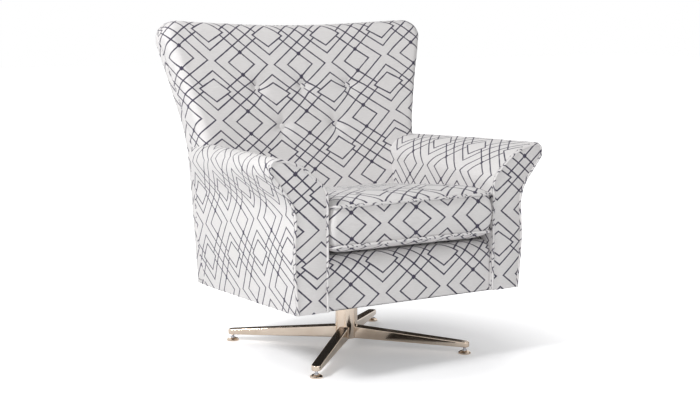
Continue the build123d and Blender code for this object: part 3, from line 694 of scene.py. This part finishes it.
def inside_back(s, t):
    """The panel runs straight, then turns over a quarter round at the sides and the top, down to the seam."""
    wide = (2 * s - 1) * back_half(float(EAR[1]))
    edge = back_top(wide)
    top_line = edge - EAR_ROUND
    flat_edge = EAR_ROUND - EDGE_ROLL
    quarter = EDGE_ROLL * pi / 2
    top_band = np.maximum(inside_depth(wide, edge) - EDGE_ROLL - seam_depth(edge), 1)
    top_run = flat_edge + quarter + top_band
    b = INSIDE_BOTTOM + t * (top_line + top_run - INSIDE_BOTTOM)
    v = np.minimum(b, top_line)
    over_top = np.maximum(b - top_line, 0)
    half = back_half(v) - EAR_ROUND
    side_run = flat_edge + quarter + np.maximum(inside_depth(half, v) - EDGE_ROLL - seam_depth(v), 1)
    a = (2 * s - 1) * (half + side_run)
    over_side = np.maximum(np.abs(a) - half, 0)
    over_side, over_top = round_corner(over_side, over_top, side_run, top_run)
    out = np.hypot(over_side, over_top)
    share_side, share_top = over_side / np.maximum(out, 1e-6), over_top / np.maximum(out, 1e-6)
    angle = np.clip((out - flat_edge) / EDGE_ROLL, 0, pi / 2)
    reach = np.minimum(out, flat_edge) + EDGE_ROLL * np.sin(angle)
    fall = EDGE_ROLL * (1 - np.cos(angle)) + np.maximum(out - flat_edge - quarter, 0)
    u = np.clip(a, -half, half) + np.sign(a) * share_side * reach
    v = v + share_top * reach
    w = inside_depth(u, v) - fall
    flat_u = np.clip(a, -half, half) + np.sign(a) * over_side
    flat_v = (np.minimum(b, top_line) + over_top) / cos(INSIDE_LEAN - BACK_LEAN)
    for x, rise in button_places():
        away = np.hypot(u - x, v - rise)
        angle = np.arctan2(v - rise, u - x)
        folds = 1 + FOLD_SHARE * np.cos(FOLDS * angle + x) * np.exp(-((away - FOLD_RADIUS) / FOLD_WIDTH) ** 2)
        w = w - TUFT_DEPTH * folds / (1 + (away / TUFT_WIDTH) ** 2) ** 1.5 * (fall < 1)
        pull = TUFT_PULL * np.exp(-(away / PULL_REACH) ** 2) / np.maximum(away, PULL_CORE)
        flat_u = flat_u + (u - x) * pull
        flat_v = flat_v + (v - rise) * pull
    bow = np.maximum(BOW * (1 - ((u - BOW_MIDDLE) / BOW_HALF) ** 2), BOW_LOWEST)
    flat = stacked(flat_u - INSIDE_PATTERN[0], (flat_v + bow) * INSIDE_STRETCH - INSIDE_PATTERN[1])
    return on_back(u, v, w), flat


def level_foot(v, w):
    """Brings the foot of a strip in front of the outside back down to the seat's level underside."""
    return v - np.clip(1 - v / FOOT_BLEND, 0, 1) * w * tan(BACK_LEAN)


def back_border(s, t):
    """The strip round the back, from the outside panel forward to the seam."""
    line, run = along(rounded_path(BACK_CORNERS, BACK_ROUNDS), s)
    w = OUTSIDE_LIFT + t * (seam_depth(line[:, 1]) - OUTSIDE_LIFT)
    puff = STRIP_PUFF * np.sin(pi * t)
    grow = 1 + puff / np.maximum(np.abs(line[:, 0]), STRIP_MIDDLE)
    return hung(on_back(line[:, 0] * grow, level_foot(line[:, 1], w), w)), stacked(run, w)


def outside_back(s, t):
    """The panel that closes the back, a little inside the edge, with rounded upper corners."""
    wide = (2 * s - 1) * back_half(float(EAR[1]))
    top_line = back_top(wide) - EAR_ROUND
    b = t * (top_line + EAR_ROUND - OUTSIDE_INSET)
    v = np.minimum(b, top_line)
    half = back_half(v) - EAR_ROUND
    size = EAR_ROUND - OUTSIDE_INSET
    a = (2 * s - 1) * (half + size)
    over_side, over_top = np.maximum(np.abs(a) - half, 0), np.maximum(b - top_line, 0)
    over_side, over_top = round_corner(over_side, over_top, size, size)
    u = np.clip(a, -half, half) + np.sign(a) * over_side
    v = v + over_top
    puff = BACK_PUFF * (1 - np.abs(2 * s - 1) ** 8) * (1 - np.abs(2 * t - 1) ** 8)
    return hung(on_back(u, v, OUTSIDE_LIFT - puff)), stacked(u - OUTSIDE_PATTERN_X, v)


inner = cover("inside_back", 170, 130, inside_back, inside=(0, 300, 600))
upholster(inner, "seat", "inside_back_cover", "back_padding")
strip = cover("back_border", 260, 8, back_border, inside=(0, 300, 600))
upholster(strip, "seat")
outer = cover("outside_back", 100, 90, outside_back, inside=(0, 230, 560))
upholster(outer, "seat", "outside_back_cover")


# The buttons: metal shells covered in the same cloth, tied through the back with twine.
# Each sits at the bottom of its tuft, a little below the padding round it.

BUTTON_RADIUS = 11.0
BUTTON_HEIGHT = 5.0
BUTTON_SINK = 2.0
BUTTON_BEHIND = 30.0
BUTTON_PATTERN = (-129.0, 60.0)


def covered_button(x, rise):
    """A domed disc, from its middle to its rim."""
    def shape(s, t):
        turn = 2 * pi * s
        ring = np.sin(t * pi / 2) ** 0.8 * BUTTON_RADIUS
        dome = BUTTON_HEIGHT * np.cos(t * pi / 2) ** 0.7
        u, v = x + ring * np.cos(turn), rise + ring * np.sin(turn)
        w = inside_depth(x, rise) - TUFT_DEPTH - BUTTON_SINK + dome
        return on_back(u, v, w), stacked(u - BUTTON_PATTERN[0], v - BUTTON_PATTERN[1])
    return shape


buttons = []
for x, rise in button_places():
    depth = inside_depth(x, rise) - BUTTON_BEHIND
    behind = on_back(np.array([x]), np.array([rise]), np.array([depth]))[0]
    buttons.append(cloth_panel("button", 32, 10, covered_button(x, rise), behind))
upholster(lined(sewn("back_buttons", buttons)), "seat", "back_buttons")


# The piping: cord in bias-cut strips of the cover, sewn into the seams so that half of it stands out.
# It runs round the arm facings and the outside back, and in the seams at the back's edge and the arms' rear.

PIPE_R = 4.0
FACING_SINK = 1.2
SEAM_PIPE_R = 2.6
ARM_SEAM_R = 3.4
PIPE_SIDES = 12
PIPE_STEP = 1.5
PIPE_SPACING = 4
BIAS = (0.96, 0.28)              # direction in which the strips are cut
BIAS_SCALE = 1.4
RIM_INSET = 2.0
SEAM_INSET = 0.5
ARM_SEAM_SHARE = 0.56
ARM_SEAM_PROUD = 1.2
ARM_SEAM_BEHIND = 1
FACING_POINTS = 260
BACK_POINTS = 420
ARM_SEAM_POINTS = 120


def cord_panel(name, path, across, radius):
    """A cord along a path in space. Across is a direction that the path never takes."""
    path = np.asarray(path, float)
    total = lengths(path)[-1]

    def shape(s, t):
        line, run = along(path, s)
        step = PIPE_STEP / total
        ahead, _ = along(path, np.clip(s + step, 0, 1))
        behind, _ = along(path, np.clip(s - step, 0, 1))
        tangent = unit(ahead - behind)
        sideways = unit(np.cross(tangent, across))
        upward = np.cross(sideways, tangent)
        turn = 2 * pi * t[:, None]
        around = radius * (sideways * np.cos(turn) + upward * np.sin(turn))
        girth = 2 * pi * radius * t
        flat = stacked(run * BIAS[0] - girth * BIAS[1], run * BIAS[1] + girth * BIAS[0])
        return line + around, flat * BIAS_SCALE

    return cloth_panel(name, int(total / PIPE_SPACING), PIPE_SIDES, shape, path.mean(0))


def piping(name, body, cords, *nodes):
    """Joins cords into one piece, closes their ends and covers them."""
    piece = sewn(name, cords, nearness=0.0001)
    bpy.ops.object.mode_set(mode="EDIT")
    bpy.ops.mesh.select_all(action="SELECT")
    bpy.ops.mesh.fill_holes(sides=0)
    bpy.ops.mesh.normals_make_consistent(inside=False)
    bpy.ops.object.mode_set(mode="OBJECT")
    return upholster(piece, body, *nodes)


def inset_path(path, distance):
    """The path moved to its right-hand side."""
    ahead = unit(np.gradient(path, axis=0))
    return path + distance * np.stack([ahead[:, 1], -ahead[:, 0]], 1)


facing_line = inset_path(along(arm_profile, np.linspace(0, 1, FACING_POINTS))[0], PIPE_R)
cords = []
for flip in (-1, 1):
    depth = np.full(len(facing_line), ARM_FRONT - PIPE_R + FACING_SINK)
    loop = stacked(flip * facing_line[:, 0], depth, facing_line[:, 1])
    cords.append(cord_panel("facing_cord", loop, (0, 1, 0), PIPE_R - FACING_SINK / 2))
back_line = along(rounded_path(BACK_CORNERS, BACK_ROUNDS), np.linspace(0, 1, BACK_POINTS))[0]
rim = inset_path(back_line, PIPE_R + RIM_INSET)
across_back = (0, cos(BACK_LEAN), -sin(BACK_LEAN))
rim = hung(on_back(rim[:, 0], rim[:, 1], np.full(len(rim), -PIPE_R)))
cords.append(cord_panel("rim_cord", rim, across_back, PIPE_R))
piping("cover_piping", "seat", cords, "cover_piping")
seam = inset_path(back_line, SEAM_INSET)
depth = seam_depth(seam[:, 1])
seam = hung(on_back(seam[:, 0], level_foot(seam[:, 1], depth), depth))
cords = [cord_panel("seam_cord", seam, across_back, SEAM_PIPE_R)]
rear_line = inset_path(at_rear(np.linspace(1, ARM_SEAM_SHARE, ARM_SEAM_POINTS))[0], -ARM_SEAM_PROUD)
for flip in (-1, 1):
    x, z = rear_line.T
    edge = hung(stacked(flip * x, joint_y(z) + ARM_SEAM_BEHIND, z))
    cords.append(cord_panel("arm_seam_cord", edge, (0, 1, 0), ARM_SEAM_R))
piping("seam_piping", "seat", cords)


# The dust cover: thin black lining cloth stapled under the frame, with a round hole for the column.
# It is cut from one flat piece and sags a little between the rails.

DUST_LOW = (-354.0, -332.0)
DUST_HIGH = (354.0, 247.0)
DUST_HOLE = 40.0
DUST_Z = 196.5
DUST_SAG = 0.8
CAMBRIC_BLACK = (0.012, 0.012, 0.014, 1)
CAMBRIC_DUSTY = (0.035, 0.035, 0.038, 1)


def dust_sheet(s, t):
    """Rays from the hole to the sheet's straight edges."""
    turn = 2 * pi * s
    ray = stacked(np.cos(turn), np.sin(turn))
    to_x = np.where(ray[:, 0] > 0, DUST_HIGH[0], -DUST_LOW[0]) / np.maximum(np.abs(ray[:, 0]), 1e-6)
    to_y = np.where(ray[:, 1] > 0, DUST_HIGH[1], -DUST_LOW[1]) / np.maximum(np.abs(ray[:, 1]), 1e-6)
    reach = DUST_HOLE + t * (np.minimum(to_x, to_y) - DUST_HOLE)
    x, y = ray[:, 0] * reach, ray[:, 1] * reach
    return stacked(x, y, DUST_Z - DUST_SAG * np.sin(pi * t)), stacked(x, y)


cambric = Finish("black_cambric")
fibres = cambric.noise(cambric.place(), 900.0, detail=2.0)
dusting = cambric.noise(cambric.place(), 14.0)
cambric.surface({
    "Base Color": cambric.blend(fibres * 0.6 + dusting * 0.4, CAMBRIC_BLACK, CAMBRIC_DUSTY),
    "Roughness": 0.95,
    "Normal": cambric.bump(fibres, strength=0.3, distance=0.0004),
})
sheet = sewn("dust_cover_sheet", [cloth_panel("dust_cover_sheet", 240, 24, dust_sheet, inside=(0, 0, 400))])
sheet.data.materials.clear()
sheet.data.materials.append(cambric.material)
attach(sheet, "seat")
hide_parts("dust_cover")


# The seat cushion: a loose box cushion with a foam core in a fibre wrap, piped along both seams.
# Its top is crowned, its sides belly out between the seams, and it is pulled in between its corners.

CUSHION_HALF = 261.0
CUSHION_FRONT = -350.0
CUSHION_SEAMS = (364.0, 469.0)
CUSHION_CROWN = (34.0, 150.0)    # height, and width of the shoulder
CUSHION_UNDER = (-27.5, 105.0)
CUSHION_PITCH = 5.5
CUSHION_DRAW = 8.0
CUSHION_WAIST = 4.0
CUSHION_CORNER = 24.0
CUSHION_SIDE_ROUND = 900
CUSHION_GAP = 1
CUSHION_REAR_DRAW = 1
CUSHION_CENTRE = np.array([0.0, -95.0])
CUSHION_CORE = (0, -95, 415)
CORD_SINK = 0.6
TOP_PATTERN_Y = -10.0
BOXING_PATTERN_Z = 417.0


def pitch_fall(z, y):
    """How far the cushion falls towards the back: level at its lower seam, pitched at the upper one."""
    share = np.clip((z - CUSHION_SEAMS[0]) / (CUSHION_SEAMS[1] - CUSHION_SEAMS[0]), 0, 1)
    return (y - CUSHION_FRONT) * np.sin(radians(CUSHION_PITCH) * share)


def cushion_outline(z, inset):
    """Plan of the cushion at one height, starting at the middle of its rear edge."""
    half = CUSHION_HALF - inset
    front = CUSHION_FRONT + inset
    rear_z = z - pitch_fall(z, INSIDE_FOOT[0])
    rear_middle = INSIDE_FOOT[0] + (rear_z - INSIDE_FOOT[1]) * tan(INSIDE_LEAN) - CUSHION_GAP - inset
    rear = rear_middle - half ** 2 / (2 * HOLLOW)
    middle = (front + rear) / 2
    corners = [(0, rear_middle - CUSHION_REAR_DRAW),
               (-half, rear), (-half + CUSHION_WAIST, middle), (-half, front),
               (0, front + CUSHION_WAIST / 2), (half, front), (half - CUSHION_WAIST, middle), (half, rear)]
    corner = max(CUSHION_CORNER - inset, CUSHION_CORNER / 4)
    return rounded_path(corners, [0, *[corner, CUSHION_SIDE_ROUND] * 3, corner], closed=True)


def cushion_panel(z, crown):
    """A panel inside the seam at one height, crowned by a height over the width of a round shoulder."""
    edge = cushion_outline(z, CUSHION_DRAW)

    def shape(s, t):
        line, _ = along(edge, s)
        share = 1 - (1 - t) ** 1.6
        plan = CUSHION_CENTRE + (line - CUSHION_CENTRE) * share[:, None]
        inside = np.clip((1 - share) * (CUSHION_HALF - CUSHION_DRAW) / crown[1], 0, 1)
        rise = crown[0] * np.sqrt(1 - (1 - inside) ** 2) - pitch_fall(z, plan[:, 1])
        x, y = plan.T
        return stacked(x, y, z + rise), stacked(x - PATTERN_X, y - TOP_PATTERN_Y)
    return shape


def cushion_boxing(s, t):
    """The strip between the seams, bellied out in the middle of its height."""
    low, high = CUSHION_SEAMS
    z = low + t * (high - low)
    bottom, run = along(cushion_outline(low, CUSHION_DRAW), s)
    top, _ = along(cushion_outline(high, CUSHION_DRAW), s)
    line = bottom + (top - bottom) * t[:, None]
    out = line - CUSHION_CENTRE
    belly = CUSHION_DRAW * np.sin(pi * t) / np.maximum(np.abs(out).max(1), 1)
    x, y = (line + out * belly[:, None]).T
    front_run = lengths(cushion_outline(low, CUSHION_DRAW))[-1] / 2 + PATTERN_X
    return stacked(x, y, z - pitch_fall(z, y)), stacked(run - front_run, z - BOXING_PATTERN_Z)


cushion = sewn("seat_cushion", [
    cloth_panel("cushion_top", 260, 40, cushion_panel(CUSHION_SEAMS[1], CUSHION_CROWN), CUSHION_CORE),
    cloth_panel("cushion_bottom", 260, 24, cushion_panel(CUSHION_SEAMS[0], CUSHION_UNDER), CUSHION_CORE),
    cloth_panel("cushion_boxing", 260, 20, cushion_boxing, CUSHION_CORE),
])
upholster(eased(cushion), "seat_cushion", "cushion_core", "cushion_cover")
cords = []
for height in CUSHION_SEAMS:
    loop = cushion_outline(height, CUSHION_DRAW - PIPE_R - CORD_SINK)
    cord = stacked(loop[:, 0], loop[:, 1], height - pitch_fall(height, loop[:, 1]))
    cords.append(cord_panel("cushion_cord", cord, (0, 0, 1), PIPE_R))
piping("cushion_piping", "seat_cushion", cords, "cushion_piping")


# The studio: a white floor with a painted glow, weak near the chair and full white away from it, and a white
# background.
# A strong soft light stands on the left, with weaker ones in front and behind. Dark cards on the floor,
# on the right and behind give the chrome its streaks, and only reflections see them.

FLOOR_SIZE = 40
SHADE_MIDDLE = (0.08, -0.10, 0.0)
SHADE_REACH = (0.33, 0.95)
SHADE_GLOW = 0.24
FLOOR_MIRRORED = 0.35
SKY_LIGHT = 0.37
CAMERA_PLACE = (-2.0048, -3.2540, 0.9568)
CAMERA_AIM = (0.0031, -0.0149, 0.4305)
CAMERA_LENS = 69.43
SENSOR_WIDTH = 36


class Backdrop(Finish):
    """The world round the chair, made of nodes like a finish."""

    def __init__(self, name):
        self.world = bpy.data.worlds.new(name)
        self.world.use_nodes = True
        self.tree = self.world.node_tree
        self.shader = self.tree.nodes["Background"]


def shown(finish, mirrored):
    """1 to the camera and through glass, and a share of that in reflections."""
    seen = finish.node("ShaderNodeLightPath", {}, {})
    return seen + seen.beside("Is Transmission Ray") + seen.beside("Is Glossy Ray") * mirrored


bpy.ops.object.select_all(action="DESELECT")
bpy.ops.mesh.primitive_plane_add(size=FLOOR_SIZE)
floor = bpy.context.object
floor.name = "floor"
paper = Finish("white_paper")
# Painted light: the floor's glow is weak around SHADE_MIDDLE, so the chair's shadow stays dark there, and
# grows to full white further away.
away = paper.node("ShaderNodeVectorMath", {"operation": "DISTANCE"}, {0: paper.place(), 1: SHADE_MIDDLE})
glow = paper.node("ShaderNodeMapRange", {}, {
    "Value": away,
    "From Min": SHADE_REACH[0],
    "From Max": SHADE_REACH[1],
    "To Min": SHADE_GLOW,
    "To Max": 1.0,
})
paper.surface({
    "Base Color": (0.9, 0.9, 0.91, 1),
    "Roughness": 1.0,
    "Specular IOR Level": 0.0,
    "Emission Color": shown(paper, FLOOR_MIRRORED) * glow,
    "Emission Strength": 1.0,
})
floor.data.materials.append(paper.material)

dark_card = Finish("dark_card")
dark_card.surface({"Base Color": (0.045, 0.036, 0.030, 1), "Roughness": 1.0, "Specular IOR Level": 0.0})
for name, place, turn, size in (
    ("floor_card", (-0.03, -0.31, 0.002), (0, 0, -pi / 4), 0.21),
    ("right_card", (1.1, -0.35, 0.35), (0, -pi / 2, 0), 0.7),
    ("rear_card", (1.1, 1.7, 0.5), (pi / 2, 0, 0), 1.5),
):
    bpy.ops.object.select_all(action="DESELECT")
    bpy.ops.mesh.primitive_plane_add(size=size, location=place, rotation=turn)
    card = bpy.context.object
    card.name = name
    card.data.materials.append(dark_card.material)
    card.visible_camera = False
    card.visible_diffuse = False
    card.visible_shadow = False

sky = Backdrop("studio")
strength = sky.node("ShaderNodeMapRange", {}, {"Value": shown(sky, 1.0), "To Min": SKY_LIGHT, "To Max": 1.0})
sky.surface({"Color": (1, 1, 1, 1), "Strength": strength})
bpy.context.scene.world = sky.world


def set_up(name, data, place, aim):
    """Stands a lamp or the camera in its place, pointed at its aim."""
    stood = bpy.data.objects.new(name, data)
    bpy.context.scene.collection.objects.link(stood)
    stood.location = place
    stood.rotation_euler = (Vector(aim) - Vector(place)).to_track_quat("-Z", "Y").to_euler()
    return stood


def soft_light(name, place, aim, size, watts):
    lamp = bpy.data.lights.new(name, "AREA")
    lamp.shape = "DISK"
    lamp.size = size
    lamp.energy = watts
    set_up(name, lamp, place, aim)


soft_light("key_light", place=(-2.7, -0.6, 2.4), aim=(0, 0, 0.45), size=0.8, watts=77)
soft_light("front_light", place=(-0.1, -3.4, 1.8), aim=(0, 0, 0.5), size=2.0, watts=30)
soft_light("back_light", place=(1.2, 3.2, 2.0), aim=(0, 0, 0.5), size=2.0, watts=36)

camera = set_up("camera", bpy.data.cameras.new("camera"), CAMERA_PLACE, CAMERA_AIM)
camera.data.sensor_width = SENSOR_WIDTH
camera.data.lens = CAMERA_LENS
bpy.context.scene.camera = camera
bpy.context.scene.view_settings.view_transform = "Standard"
